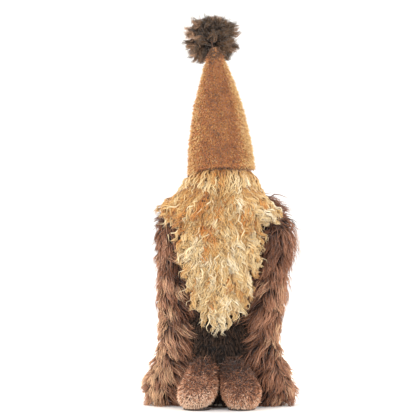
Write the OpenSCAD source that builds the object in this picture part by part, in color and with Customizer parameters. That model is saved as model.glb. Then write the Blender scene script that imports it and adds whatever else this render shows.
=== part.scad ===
// Standing tomte gnome: a stuffed body under a tall plush hat, a curly beard, two long furry
// arms that reach the floor and two short plush feet. Every piece is a separate solid.
// Millimetres, +Z up, front towards -Y, origin on the floor at the centre of the base.
// Left is -X and right is +X, as seen from the front.

/* [Body] */
// Radius of the flat base panel
base_r = 36; // [32:0.5:38]
// Largest radius of the body
belly_r = 38; // [33:0.5:46]
// Height of the largest radius
belly_z = 60; // [50:1:75]
// Radius of the neck, under the beard
neck_r = 24; // [20:0.5:27]
// Height at which the neck starts
neck_z = 240; // [200:1:290]
// Radius of the head, under the hat
head_r = 29; // [26:0.5:35]
// Height of the head's centre above the start of the neck
head_rise = 32; // [28:1:36]
// Thickness of the short plush, with its pile
skin_t = 3; // [2:0.5:4]
// Thickness of the fabric base panel
base_panel_t = 2; // [1:0.5:3]
// Thickness of the stiff board over the base panel
board_t = 2; // [1:0.5:3]
// Height of the pouch of pellets
pouch_h = 42; // [30:1:50]
// Thickness of the pouch's cotton
pouch_t = 1; // [0.6:0.1:1.5]

/* [Hat] */
// Height of the hat from brim to tip
hat_h = 155; // [125:1:190]
// Radius of the hat's rounded tip
tip_r = 9; // [7.5:0.5:11]
// Thickness of the hat's plush, with its pile
hat_t = 3; // [2:0.5:4]
// Thickness of the buckram cone inside the hat
buckram_t = 1; // [0.8:0.1:1.5]
// Room between the head and the buckram at the brim
brim_ease = 7; // [6:0.5:10]
// How far the hat leans to the left, in degrees
hat_lean = 3; // [0:0.5:5]

/* [Pompom] */
// Radius of the pompom with its pile
pompom_r = 30; // [25:0.5:36]
// Radius of the pompom's stuffed core
core_r = 15; // [12:0.5:16]
// Distance from the knot on the hat's tip to the pompom's centre
pompom_reach = 24.4; // [22:0.2:29]
// Angle of the pompom above level as it rests behind the tip, in degrees
pompom_rise = 11; // [5:1:15]
// Radius of the pompom's cord
cord_r = 0.8; // [0.6:0.1:1]

/* [Beard] */
// Half the width of the beard
beard_half_w = 40; // [33:0.5:44]
// Thickness of the beard's pile
beard_pile_t = 12; // [9:0.5:15]
// Thickness of the beard's woven backing
backing_t = 1.5; // [1:0.1:2]
// Height of the beard's tip above the feet
beard_tip_gap = 27.5; // [18:0.5:40]
// How far the beard's lower end stands forward, in degrees
beard_tilt = 4; // [3:0.5:6]
// Least room between the belly and the beard's lower end
beard_room = 3; // [1:0.5:8]
// Radius of the curve that the beard is draped to
drape_r = 160; // [130:1:200]
// Half the length of a moustache wing
wing_half_l = 34; // [28:0.5:38]
// Half the height of a moustache wing
wing_half_h = 17; // [14:0.5:20]
// Thickness of a moustache wing's pile
wing_pile_t = 11; // [9:0.5:13]
// How far a moustache wing slopes down, in degrees
wing_slope = 22; // [15:1:28]

/* [Arms] */
// Largest radius of an arm, with its pile
arm_r = 23; // [19:0.5:27]
// Radius of an arm at the wrist
wrist_r = 16.5; // [14:0.5:20]
// Radius of a paw, with its pile
paw_r = 21; // [18:0.5:25]
// Thickness of the long pile fur
fur_t = 7; // [5:0.5:8]
// Room between the neck and the left arm
left_shoulder_gap = 2.5; // [2:0.5:8]
// Room between the neck and the right arm
right_shoulder_gap = 12; // [2:0.5:14]
// Room between the belly and the left wrist
left_wrist_gap = 4; // [3:0.5:8]
// Room between the belly and the right wrist
right_wrist_gap = 3.5; // [3:0.5:8]
// Room, across, between a foot and the left paw
left_paw_gap = 0.5; // [0:0.5:6]
// Room, across, between a foot and the right paw
right_paw_gap = 1.5; // [0:0.5:6]
// Radius of the thread knot at a shoulder
knot_r = 1.8; // [1.6:0.1:2.5]

/* [Feet] */
// Radius of a foot's toe
toe_r = 23; // [19:0.5:23.5]
// Radius of a foot where it is sewn on
ankle_r = 15.5; // [13:0.5:17]
// Distance from the body's surface to the toe's centre
toe_reach = 24; // [20:0.5:29]
// Height of the toe's centre
toe_z = 17; // [14:0.5:18]
// Height of the ankle's centre
ankle_z = 42; // [38:0.5:46]
// Thickness of the felt sole
sole_t = 2; // [1:0.5:3]
// Room between the two feet
foot_gap = 2; // [1:0.5:4]

/* [Hidden] */
$fn = 64;
left = -1;
right = 1;
fit = 0.2;        // gap between pieces that lie on each other
clear = 0.6;      // gap between pieces that move past each other
steps = 10;       // straight lines in each curved stretch of an outline
big = 1000;       // larger than the object

// Heights that follow from the body
head_z = neck_z + head_rise;
shoulder_z = neck_z - 4;
seam_z = head_z - 7;
seam_y = -(head_r + 2);
thread_r = 0.8;

// The hat
brim_r = head_r + brim_ease + buckram_t + hat_t;
tip_shape = 1.8;
tip_hole_r = cord_r + 0.08;
button_r = tip_r - hat_t - buckram_t;
button_t = 1.6;
button_drop = tip_r + 4;
pompom_knot_r = 2;
pompom_knot_z = hat_h + pompom_knot_r + 0.3;
pompom_opening_r = 0.65 * pompom_r;
neck_long = pompom_reach - core_r - pompom_knot_r;
opening_rim = meeting(pompom_reach, pompom_opening_r, pompom_r);
opening_back = meeting(pompom_reach, pompom_opening_r, core_r + fit);

// The beard
foot_top = ankle_z + ankle_r;
beard_len = seam_z - thread_r - 0.4 - (foot_top + beard_tip_gap);
beard_lean = max(beard_tilt, atan2(belly_r + beard_room + seam_y, beard_len));
wing_y = backing_t + beard_pile_t + 2 * fit;
wing_x = wing_half_l + 1;
wing_drop = wing_half_h + 4.5;

// The arms and the feet
arm_y = -2;
wrist_z = 66;
paw_z = paw_r - 1.5;
paw_cuff = 12;
arm_top = knot_r + 0.8;
tab_half_w = 3.5;
stem_r = 1;
bar_half_l = 3.2;
tab_t = 1.6;
ankle_reach = belly_r + 2;
splay = asin((ankle_r + foot_gap / 2) / ankle_reach);
toe_at = belly_r + toe_reach;
foot_hinge_z = foot_top + 1.5;
foot_hinge_at = belly_r + thread_r + 0.4;

function shoulder_x(side) = neck_r + arm_r + (side == left ? left_shoulder_gap : right_shoulder_gap);
function wrist_x(side) = belly_r + wrist_r + (side == left ? left_wrist_gap : right_wrist_gap);
function paw_x(side) = toe_at * sin(splay) + toe_r + paw_r
    + (side == left ? left_paw_gap : right_paw_gap);
function arm_lean(side) = atan((wrist_x(side) - shoulder_x(side)) / (shoulder_z - wrist_z));
function arm_len(side) = (shoulder_z - wrist_z) / cos(arm_lean(side));

// Radius of the body's outside at a height up to the neck
function body_r(z) = z < belly_z
    ? base_r + (belly_r - base_r) * sin(90 * z / belly_z)
    : neck_r + (belly_r - neck_r) * (1 + cos(180 * (z - belly_z) / (neck_z - belly_z))) / 2;

// Outline of half the body, grown outwards by grow
function body_outline(grow) = let (
        neck_angle = acos(neck_r / head_r),
        head = head_r + grow
    ) concat(
        [[0, 0]],
        [for (i = [0:steps]) let (z = belly_z * i / steps) [body_r(z) + grow, z]],
        [for (i = [1:2 * steps]) let (z = belly_z + (neck_z - belly_z) * i / (2 * steps))
            [body_r(z) + grow, z]],
        [for (i = [0:steps]) let (a = -neck_angle + (90 + neck_angle) * i / steps)
            [head * cos(a), head_z + head * sin(a)]]
    );

// Radius of the hat's outside at a share of its height, from 0 at the brim to 1 at the tip's round
function hat_r(t) = tip_r + (brim_r - tip_r) * (1 - pow(t, tip_shape));

// Outline of half the hat, grown outwards by grow
function hat_outline(grow) = concat(
    [[0, 0]],
    [for (i = [0:2 * steps]) let (t = i / (2 * steps)) [hat_r(t) + grow, t * (hat_h - tip_r)]],
    [for (i = [1:steps]) let (a = 90 * i / steps)
        [(tip_r + grow) * cos(a), hat_h - tip_r + (tip_r + grow) * sin(a)]]
);

// Points of an arc about a centre on the axis, from one angle above level to another
function arc(centre, r, a1, a2) = [for (i = [0:2 * steps]) let (a = a1 + (a2 - a1) * i / (2 * steps))
    [r * cos(a), centre + r * sin(a)]];

// Distance along the axis at which a ball of r1 at its start meets a ball of r2 a distance away
function meeting(distance, r1, r2) = (pow(distance, 2) + pow(r1, 2) - pow(r2, 2)) / (2 * distance);

// Radius of an arm at a distance below its top, as a share of its length
function arm_radius(t) = let (round = 0.12) t < round
    ? arm_r * sqrt(1 - pow(1 - t / round, 2))
    : wrist_r + (arm_r - wrist_r) * (1 + cos(180 * (t - round) / (1 - round))) / 2;

// Half the beard's width at a share of its length, from 0 at the seam to 1 at the tip
function beard_half(t) = beard_half_w * pow(1 - pow(t, 5), 0.6);

// ---- Forms that more than one piece is cut from ----

module above(z) translate([-big / 2, -big / 2, z]) cube(big);

module body_form(grow) rotate_extrude() polygon(body_outline(grow));

module hat_frame() translate([0, 0, head_z]) rotate([0, -hat_lean, 0]) children();

module hat_form(grow) rotate_extrude() polygon(hat_outline(grow));

module pompom_frame() hat_frame() translate([0, 0, pompom_knot_z]) rotate([pompom_rise, 0, 0]) children();

// A round-ended bar between two balls in the plane y = 0, from radius r1 to radius r2
module taper(x1, z1, r1, x2, z2, r2) {
    length = norm([x2 - x1, z2 - z1]);
    lean = asin((r1 - r2) / length);
    translate([x1, 0, z1]) rotate([0, atan2(x2 - x1, z2 - z1), 0]) rotate_extrude()
        polygon(concat(
            [for (i = [0:steps]) let (a = -90 + (90 + lean) * i / steps) [r1 * cos(a), r1 * sin(a)]],
            [for (i = [0:steps]) let (a = lean + (90 - lean) * i / steps)
                [r2 * cos(a), length + r2 * sin(a)]]
        ));
}

module arm_frame(side) translate([side * shoulder_x(side), arm_y, shoulder_z])
    rotate([0, -side * arm_lean(side), 0]) mirror([0, 0, 1]) children();

// An arm from its rounded top to the wrist, pointing along +Z of its own frame
module arm_form(side, grow) rotate_extrude() polygon(concat(
    [[0, arm_top - grow]],
    [for (i = [1:4 * steps]) let (t = i / (4 * steps), span = arm_len(side) - arm_top)
        [arm_radius(t) + grow, arm_top - grow + (span + grow) * t]],
    [[0, arm_len(side)]]
));

// A paw from inside the wrist to the floor
module paw_form(side, grow) intersection() {
    translate([0, arm_y, 0]) mirror([side == left ? 1 : 0, 0, 0])
        taper(paw_x(side), paw_z, paw_r + grow, wrist_x(side), wrist_z, wrist_r + grow);
    above(-grow);
}

module foot_turn(side) rotate([0, 0, side * splay]) children();

// A foot from the ankle to the toe, flat underneath and hollowed to the body's round
module foot_form(side, grow) difference() {
    foot_turn(side) rotate([0, 0, -90])
        taper(toe_at, toe_z, toe_r + grow, ankle_reach, ankle_z, ankle_r + grow);
    body_form(fit - grow);
    mirror([0, 0, 1]) above(grow);
}

// A curved sheet of the beard's drape, from one depth to another in front of the seam
module drape(depth_1, depth_2) translate([0, drape_r, 0]) difference() {
    translate([0, 0, -big / 2]) cylinder(r = drape_r + depth_2, h = big, $fn = 128);
    translate([0, 0, -big / 2]) cylinder(r = drape_r + depth_1, h = big, $fn = 128);
}

module beard_frame() translate([0, seam_y, seam_z]) rotate([-beard_lean, 0, 0]) children();

module forward_cut() rotate([90, 0, 0]) linear_extrude(big / 2) children();

module beard_outline() polygon(concat(
    [for (i = [0:2 * steps]) let (t = i / (2 * steps)) [beard_half(t), -beard_len * t]],
    [for (i = [2 * steps - 1:-1:0]) let (t = i / (2 * steps)) [-beard_half(t), -beard_len * t]]
));

module wing_outline(side) translate([side * wing_x, -wing_drop]) rotate(-side * wing_slope)
    polygon([for (i = [0:4 * steps - 1]) let (a = 360 * i / (4 * steps))
        [wing_half_l * cos(a), wing_half_h * sin(a)]]);

module beard_layer(depth_1, depth_2) beard_frame() intersection() {
    drape(depth_1, depth_2);
    translate([0, drape_r / 2, -thread_r - 0.4]) forward_cut() beard_outline();
}

module wing_layer(side, depth_1, depth_2) beard_frame() intersection() {
    drape(depth_1, depth_2);
    translate([0, drape_r / 2, 0]) forward_cut() wing_outline(side);
}

// ---- The body ----

module body_shell() difference() {
    body_form(0);
    body_form(-skin_t);
    mirror([0, 0, 1]) above(-base_panel_t);
}

module body_front_panel() color("#3b2a20") intersection() {
    body_shell();
    translate([-big / 2, -big, -big / 2]) cube(big);
}

module body_back_panel() color("#4a3427") intersection() {
    body_shell();
    translate([-big / 2, 0, -big / 2]) cube(big);
}

module base_panel() color("#3a3029") cylinder(r = base_r, h = base_panel_t);

module base_board() color("#c9b48c")
    translate([0, 0, base_panel_t]) cylinder(r = base_r - skin_t - fit, h = board_t);

pouch_z = base_panel_t + board_t + fit;
pouch_r = base_r - skin_t - fit;
pouch_round = 8;

module pouch_form(grow) translate([0, 0, pouch_z]) rotate_extrude() polygon(concat(
    [[0, -grow]],
    [for (i = [0:steps]) let (a = -90 + 90 * i / steps, r = pouch_round + grow)
        [pouch_r - pouch_round + r * cos(a), pouch_round + r * sin(a)]],
    [for (i = [0:steps]) let (a = 90 * i / steps, r = pouch_round + grow)
        [pouch_r - pouch_round + r * cos(a), pouch_h - pouch_round + r * sin(a)]],
    [[0, pouch_h + grow]]
));

module pellet_pouch() color("#d9cfbb") difference() {
    pouch_form(0);
    pouch_form(-pouch_t);
}

module pellet_fill() color("#e8e4da") pouch_form(-pouch_t - fit);

module body_stuffing() color("#f3efe6") intersection() {
    body_form(-skin_t - fit);
    above(pouch_z + pouch_h + fit);
}

module beard_stitches() color("#b48a4e") translate([0, seam_y, seam_z]) rotate([0, 90, 0])
    cylinder(r = thread_r, h = 1.3 * beard_half_w, center = true);

// A strip of tape from the neck to just short of the shoulder's knot
module shoulder_tab(side) color("#6b543f") difference() {
    inner = neck_r / 2;
    outer = shoulder_x(side) - knot_r - 1;
    mirror([side == left ? 1 : 0, 0, 0])
        translate([inner, arm_y - tab_half_w, shoulder_z - tab_t / 2])
            cube([outer - inner, 2 * tab_half_w, tab_t]);
    body_form(fit);
}

// The row of stitches that the foot turns about
module foot_stitches(side) color("#2f221a") foot_turn(side)
    translate([0, -foot_hinge_at, foot_hinge_z]) rotate([0, 90, 0])
        cylinder(r = thread_r, h = ankle_r, center = true);

// ---- The hat and the pompom ----

module tie_hole() cylinder(r = tip_hole_r, h = big);

module hat_cone() color("#b07a4c") hat_frame() difference() {
    hat_form(0);
    hat_inside(hat_t);
    tie_hole();
}

// The room inside a wall of the hat, open at the brim
module hat_inside(wall) union() {
    hat_form(-wall);
    translate([0, 0, -1]) cylinder(r = brim_r - wall, h = 1 + fit);
}

module hat_buckram() color("#e6dcc6") hat_frame() difference() {
    hat_form(-hat_t - fit);
    hat_inside(hat_t + fit + buckram_t);
    tie_hole();
}

stuffing_wall = hat_t + buckram_t + 2 * fit;
button_z = hat_h - button_drop;

module hat_stuffing() color("#f3efe6") hat_frame() difference() {
    hat_form(-stuffing_wall);
    sphere(r = head_r + 1.5, $fn = 96);
    mirror([0, 0, 1]) above(-head_r / 2);
    translate([0, 0, button_z - fit]) cylinder(r = button_r + fit, h = big);
}

module tie_button() color("#8a6a48") hat_frame() translate([0, 0, button_z]) difference() {
    cylinder(r = button_r, h = button_t);
    translate([0, 0, -1]) cylinder(r = tip_hole_r, h = button_t + 2);
}

// Cord from the button, out through the hat's tip, to the knot and the bar that hold the pompom
module pompom_tie() color("#3b2a20") hat_frame() union() {
    translate([0, 0, button_z - fit / 2]) cylinder(r = cord_r, h = pompom_knot_z - button_z);
    translate([0, 0, pompom_knot_z]) sphere(r = pompom_knot_r);
    translate([0, 0, pompom_knot_z]) rotate([0, 90, 0])
        cylinder(r = stem_r, h = 2 * bar_half_l, center = true);
}

module pompom_core() color("#f3efe6") pompom_frame() union() {
    translate([0, pompom_reach, 0]) sphere(r = core_r);
    translate([0, pompom_knot_r + 0.4, 0]) rotate([-90, 0, 0])
        cylinder(r1 = 2, r2 = core_r / 2, h = neck_long);
}

// Round room for the hat's tip, which the pompom can turn about
module tip_room() {
    slope = tip_shape * (brim_r - tip_r) / (hat_h - tip_r);
    depth = 2 * pompom_r;
    translate([0, 0, hat_h - tip_r - depth])
        cylinder(r1 = tip_r + clear + slope * depth, r2 = tip_r + clear, h = depth);
    translate([0, 0, hat_h - tip_r - 1]) cylinder(r = tip_r + clear, h = tip_r + clear + 1);
}

// A ball of pile round its core, with a round opening about the knot
module pompom_fur() color("#4d3a2c") difference() {
    pompom_frame() rotate([-90, 0, 0]) rotate_extrude() polygon(concat(
        arc(pompom_reach, pompom_r, 90, asin((opening_rim - pompom_reach) / pompom_r)),
        arc(0, pompom_opening_r, asin(opening_rim / pompom_opening_r),
            asin(opening_back / pompom_opening_r)),
        arc(pompom_reach, core_r + fit, asin((opening_back - pompom_reach) / (core_r + fit)), 90)
    ));
    hat_frame() tip_room();
}

// ---- The beard and the moustache ----

module beard_backing() color("#caa468") beard_layer(0, backing_t);

module beard_pile() color("#e0c088") beard_layer(backing_t + fit, backing_t + fit + beard_pile_t);

module moustache_backing(side) color("#caa468") wing_layer(side, wing_y, wing_y + backing_t);

module moustache_pile(side) color("#e6cd9c")
    wing_layer(side, wing_y + backing_t + fit, wing_y + backing_t + fit + wing_pile_t);

// ---- The arms ----

// A knot with a bar of thread across the arm's top and a stem towards the tape
module shoulder_knot(side) color("#2f221a")
    translate([side * shoulder_x(side), arm_y, shoulder_z]) union() {
        sphere(r = knot_r);
        rotate([90, 0, 0]) cylinder(r = stem_r, h = 2 * bar_half_l, center = true);
        rotate([0, -side * 90, 0]) cylinder(r = stem_r, h = knot_r + 0.8);
    }

module arm_fur(side) color("#6a4a3a") difference() {
    arm_frame(side) arm_form(side, 0);
    arm_frame(side) arm_form(side, -fur_t);
    paw_form(side, fit);
}

module arm_stuffing(side) color("#f3efe6") difference() {
    arm_frame(side) arm_form(side, -fur_t - fit);
    paw_form(side, fit);
}

module paw_fur(side) color("#7a5645") difference() {
    paw_form(side, 0);
    paw_form(side, -fur_t);
}

module paw_stuffing(side) color("#f3efe6") paw_form(side, -fur_t - fit);

// ---- The feet ----

module foot_plush(side) color("#8a5f49") difference() {
    foot_form(side, 0);
    foot_form(side, -skin_t);
    mirror([0, 0, 1]) above(-sole_t);
}

module foot_stuffing(side) color("#f3efe6") foot_form(side, -skin_t - fit);

module foot_sole(side) color("#4a3427") difference() {
    foot_form(side, 0);
    above(sole_t);
}

body_front_panel();
body_back_panel();
base_panel();
base_board();
pellet_pouch();
pellet_fill();
body_stuffing();
beard_stitches();
shoulder_tab(left);  // left_shoulder_tab
shoulder_tab(right);  // right_shoulder_tab
foot_stitches(left);  // left_foot_stitches
foot_stitches(right);  // right_foot_stitches
hat_cone();
hat_buckram();
hat_stuffing();
tie_button();
pompom_tie();
pompom_fur();
pompom_core();
beard_backing();
beard_pile();
moustache_backing(left);  // left_moustache_backing
moustache_pile(left);  // left_moustache_pile
moustache_backing(right);  // right_moustache_backing
moustache_pile(right);  // right_moustache_pile
shoulder_knot(left);  // left_shoulder_knot
arm_fur(left);  // left_arm_fur
arm_stuffing(left);  // left_arm_stuffing
paw_fur(left);  // left_paw_fur
paw_stuffing(left);  // left_paw_stuffing
shoulder_knot(right);  // right_shoulder_knot
arm_fur(right);  // right_arm_fur
arm_stuffing(right);  // right_arm_stuffing
paw_fur(right);  // right_paw_fur
paw_stuffing(right);  // right_paw_stuffing
foot_plush(left);  // left_foot_plush
foot_stuffing(left);  // left_foot_stuffing
foot_sole(left);  // left_foot_sole
foot_plush(right);  // right_foot_plush
foot_stuffing(right);  // right_foot_stuffing
foot_sole(right);  // right_foot_sole
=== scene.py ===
# %% [markdown]
# # A standing gnome in plush, mohair and long pile fur
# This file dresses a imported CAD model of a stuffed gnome. The CAD solids give every piece its place
# and size. Each soft one is replaced here by two things: a padded form, which is the stuffed cloth, and
# its pile, which is thousands of fine tapered locks that grow out of that cloth. Real plush is made in
# the same way: a woven backing, and yarn ends that stand on it.

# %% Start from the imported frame
import math

import bmesh
import bpy
import numpy as np
from mathutils import Matrix, Vector, noise
from mathutils.kdtree import KDTree


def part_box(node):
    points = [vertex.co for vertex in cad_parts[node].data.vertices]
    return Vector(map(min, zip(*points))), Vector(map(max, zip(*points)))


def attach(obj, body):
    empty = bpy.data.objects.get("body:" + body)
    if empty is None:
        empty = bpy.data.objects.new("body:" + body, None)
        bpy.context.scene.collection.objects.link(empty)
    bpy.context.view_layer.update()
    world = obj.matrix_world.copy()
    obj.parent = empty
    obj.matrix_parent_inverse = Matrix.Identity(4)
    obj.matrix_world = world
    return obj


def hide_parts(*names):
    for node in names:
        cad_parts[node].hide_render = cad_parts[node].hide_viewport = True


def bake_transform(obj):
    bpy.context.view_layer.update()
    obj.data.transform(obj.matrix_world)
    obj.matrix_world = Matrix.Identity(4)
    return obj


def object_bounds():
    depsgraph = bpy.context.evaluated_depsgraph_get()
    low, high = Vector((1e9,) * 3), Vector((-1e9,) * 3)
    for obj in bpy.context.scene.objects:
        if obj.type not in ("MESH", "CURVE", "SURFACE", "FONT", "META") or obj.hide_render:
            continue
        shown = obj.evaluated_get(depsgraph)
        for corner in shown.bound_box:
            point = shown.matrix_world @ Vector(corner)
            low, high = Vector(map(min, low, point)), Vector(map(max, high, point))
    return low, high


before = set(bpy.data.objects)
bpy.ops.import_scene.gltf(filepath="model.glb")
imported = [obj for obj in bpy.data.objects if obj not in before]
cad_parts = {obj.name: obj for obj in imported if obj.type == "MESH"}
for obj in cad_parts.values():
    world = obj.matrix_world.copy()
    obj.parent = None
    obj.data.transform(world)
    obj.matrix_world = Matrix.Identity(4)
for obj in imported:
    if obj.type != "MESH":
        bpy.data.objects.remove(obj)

MM = 0.001
SIDES = ("left", "right")
UP = np.array((0.0, 0.0, 1.0))
DOWN = -UP
cad_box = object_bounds()
low, high = cad_box
print("CAD box in mm:", [round(v / MM) for v in low], [round(v / MM) for v in high])

# %% [markdown]
# ## The studio
# A pale floor runs back into a pale backdrop, and the light is soft, as in a photograph for a
# catalogue. Six large panels and a white surround leave no hard shadow: a key at the front left, a
# fill at the right, a low one in front, one overhead, and two warm ones behind that light the edges
# of the fur. The camera is about level with the figure's middle, far away with a long lens, so that
# upright lines stay upright.

# %% Colours
def linear(hexed):
    """An sRGB colour as the linear one that the renderer works in."""
    channels = [int(hexed[i:i + 2], 16) / 255 for i in (1, 3, 5)]
    return tuple(c / 12.92 if c <= 0.04045 else ((c + 0.055) / 1.055) ** 2.4 for c in channels) + (1.0,)


def add(tree, kind, inputs=None, **settings):
    """Adds a node: settings are its own, and inputs are values or sockets by the input's name or number."""
    made = tree.nodes.new(kind)
    for name, value in settings.items():
        setattr(made, name, value)
    for name, value in (inputs or {}).items():
        if isinstance(value, bpy.types.NodeSocket):
            tree.links.new(value, made.inputs[name])
        else:
            made.inputs[name].default_value = value
    return made


# %% Floor and backdrop
WALL_AWAY = 3.0
FLOOR_AWAY = 9.0
BACKDROP_HEIGHT = 3.0
COVE_RADIUS = 0.8
COVE_STEPS = 32
PAPER_ROUGHNESS = 0.9


def backdrop():
    """One sheet: the floor, a round cove and the wall behind."""
    bm = bmesh.new()
    route = [(-FLOOR_AWAY, 0.0)]
    for i in range(COVE_STEPS + 1):
        angle = math.pi / 2 * i / COVE_STEPS
        back = WALL_AWAY - COVE_RADIUS * (1 - math.sin(angle))
        route.append((back, COVE_RADIUS * (1 - math.cos(angle))))
    route.append((WALL_AWAY, BACKDROP_HEIGHT))
    points = [bm.verts.new((-FLOOR_AWAY, y, z)) for y, z in route]
    edges = [bm.edges.new(pair) for pair in zip(points, points[1:])]
    grown = bmesh.ops.extrude_edge_only(bm, edges=edges)
    moved = [v for v in grown["geom"] if isinstance(v, bmesh.types.BMVert)]
    bmesh.ops.translate(bm, verts=moved, vec=(2 * FLOOR_AWAY, 0, 0))
    bmesh.ops.recalc_face_normals(bm, faces=bm.faces)
    mesh = bpy.data.meshes.new("backdrop")
    bm.to_mesh(mesh)
    bm.free()
    # The extruded faces come in any order, so the floor is found as the lowest of them.
    ground = min(mesh.polygons, key=lambda face: face.center.z)
    if ground.normal.z < 0:
        mesh.flip_normals()
    made = bpy.data.objects.new("backdrop", mesh)
    bpy.context.collection.objects.link(made)
    return made


floor = backdrop()
paper = bpy.data.materials.new("seamless backdrop paper")
paper.use_nodes = True
paper_nodes = paper.node_tree.nodes
matt = paper_nodes["Principled BSDF"]
matt.inputs["Base Color"].default_value = linear("#ffffff")
matt.inputs["Roughness"].default_value = PAPER_ROUGHNESS
# The sheet is clear from behind, so a camera that stands behind it still sees the figure.
from_behind = add(paper.node_tree, "ShaderNodeNewGeometry").outputs["Backfacing"]
clear = add(paper.node_tree, "ShaderNodeBsdfTransparent").outputs["BSDF"]
sheet = add(paper.node_tree, "ShaderNodeMixShader", {0: from_behind, 1: matt.outputs["BSDF"], 2: clear})
paper.node_tree.links.new(sheet.outputs["Shader"], paper_nodes["Material Output"].inputs["Surface"])
floor.data.materials.append(paper)

# %% Light
SURROUND_STRENGTH = 0.85
world = bpy.data.worlds.new("soft white studio")
bpy.context.scene.world = world
world.use_nodes = True
world.node_tree.nodes["Background"].inputs["Color"].default_value = linear("#ffffff")
world.node_tree.nodes["Background"].inputs["Strength"].default_value = SURROUND_STRENGTH

TARGET = Vector((0, 0, 0.5 * high.z))


def softbox(name, place, size, watts, colour="#ffffff"):
    """A square panel of light that faces the figure's middle."""
    lamp = bpy.data.lights.new(name, "AREA")
    lamp.size = size
    lamp.energy = watts
    lamp.color = linear(colour)[:3]
    made = bpy.data.objects.new(name, lamp)
    made.location = place
    made.rotation_euler = (TARGET - Vector(place)).to_track_quat("-Z", "Y").to_euler()
    bpy.context.collection.objects.link(made)


softbox("key_panel", (-0.9, -1.5, 1.1), 1.0, 15)
softbox("fill_panel", (1.3, -1.4, 0.5), 1.2, 11)
softbox("low_panel", (-0.3, -1.8, 0.15), 0.8, 7)
softbox("top_panel", (0.0, 0.5, 2.0), 1.2, 8)
softbox("rim_left_panel", (-1.5, 0.7, 0.5), 0.9, 22, "#fff0d8")
softbox("rim_right_panel", (1.5, 0.7, 0.5), 0.9, 22, "#fff0d8")

# %% Camera
VIEW_DISTANCE = 2.6
VIEW_CENTRE = Vector((-13 * MM, 0, 232.5 * MM))
VIEW_SIZE = 491 * MM
VIEW_RISE = 0.03
SENSOR = 36.0
camera_data = bpy.data.cameras.new("camera")
camera_data.sensor_width = SENSOR
camera_data.lens = SENSOR * VIEW_DISTANCE / VIEW_SIZE
camera_data.clip_end = 20
camera = bpy.data.objects.new("camera", camera_data)
camera.location = VIEW_CENTRE + Vector((0, -VIEW_DISTANCE, VIEW_RISE))
camera.rotation_euler = (VIEW_CENTRE - camera.location).to_track_quat("-Z", "Y").to_euler()
bpy.context.collection.objects.link(camera)
bpy.context.scene.camera = camera
bpy.context.scene.view_settings.view_transform = "Standard"

# %% [markdown]
# ## Padded forms
# The stuffed cloth under the pile is made from the CAD solids themselves: they are joined, remeshed
# to one even skin, and drawn in by the height of the pile. A short cloth simulation with pressure then
# swells the skin as filling does, so that it is full between its seams and not machine-round.

# %% A skin from CAD solids
SAME_POINT = 1e-6
DRAW_STEP = 1.5 * MM
LOWEST_SKIN = 0.2 * MM


def skin_from(name, nodes, voxel, inset, smooth=6):
    """One closed skin round some CAD nodes, drawn in by the height of the pile."""
    bm = bmesh.new()
    for node in nodes:
        bm.from_mesh(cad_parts[node].data)
    bmesh.ops.remove_doubles(bm, verts=bm.verts, dist=SAME_POINT)
    mesh = bpy.data.meshes.new(name)
    bm.to_mesh(mesh)
    bm.free()
    made = bpy.data.objects.new(name, mesh)
    bpy.context.collection.objects.link(made)
    remesh = made.modifiers.new("even skin", "REMESH")
    remesh.mode = "VOXEL"
    remesh.voxel_size = voxel
    apply_modifiers(made)
    keep_largest(made)
    draw_in(made, inset, smooth)
    return made


def apply_modifiers(piece):
    """Makes what the modifiers give the piece's own mesh, and clears them."""
    shown = piece.evaluated_get(bpy.context.evaluated_depsgraph_get())
    mesh = bpy.data.meshes.new_from_object(shown)
    piece.modifiers.clear()
    piece.data = mesh


def keep_largest(piece):
    """Deletes the small closed pockets that remeshing leaves inside a skin."""
    bm = bmesh.new()
    bm.from_mesh(piece.data)
    left = set(bm.verts)
    islands = []
    while left:
        island, edge = set(), {left.pop()}
        while edge:
            point = edge.pop()
            island.add(point)
            for line in point.link_edges:
                other = line.other_vert(point)
                if other in left:
                    left.discard(other)
                    edge.add(other)
        islands.append(island)
    islands.sort(key=len)
    inner = [point for island in islands[:-1] for point in island]
    bmesh.ops.delete(bm, geom=inner, context="VERTS")
    bm.to_mesh(piece.data)
    bm.free()


def smooth_once(bm):
    """Moves each point half way to the middle of its neighbours."""
    bmesh.ops.smooth_vert(bm, verts=bm.verts, factor=0.5, use_axis_x=True, use_axis_y=True,
                          use_axis_z=True)


def draw_in(piece, inset, smooth):
    """Moves a skin inwards along its normals in small steps, smoothing as it goes."""
    bm = bmesh.new()
    bm.from_mesh(piece.data)
    steps = max(1, round(inset / DRAW_STEP))
    for _ in range(steps):
        bm.normal_update()
        for point in bm.verts:
            point.co -= point.normal * (inset / steps)
        smooth_once(bm)
    for _ in range(smooth):
        smooth_once(bm)
    for point in bm.verts:
        point.co.z = max(point.co.z, LOWEST_SKIN)
    bm.normal_update()
    bm.to_mesh(piece.data)
    bm.free()
    piece.data.shade_smooth()


# %% Stuffing by cloth simulation
PRESSURE = 4.0
LAST_FRAME = 20


def stuff(piece, most):
    """Swells a skin as filling does, and lets no point move further than most."""
    rest = [point.co.copy() for point in piece.data.vertices]
    cloth = piece.modifiers.new("filling", "CLOTH")
    cloth.settings.use_pressure = True
    cloth.settings.uniform_pressure_force = PRESSURE
    cloth.settings.effector_weights.gravity = 0
    scene = bpy.context.scene
    for moment in range(1, LAST_FRAME + 1):
        scene.frame_set(moment)
    apply_modifiers(piece)
    scene.frame_set(1)
    for point, was in zip(piece.data.vertices, rest):
        moved = point.co - was
        if moved.length > most:
            point.co = was + moved * (most / moved.length)
        point.co.z = max(point.co.z, LOWEST_SKIN)
    piece.data.update()
    piece.data.shade_smooth()
    print(piece.name, "skin:", len(piece.data.polygons), "faces")


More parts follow.
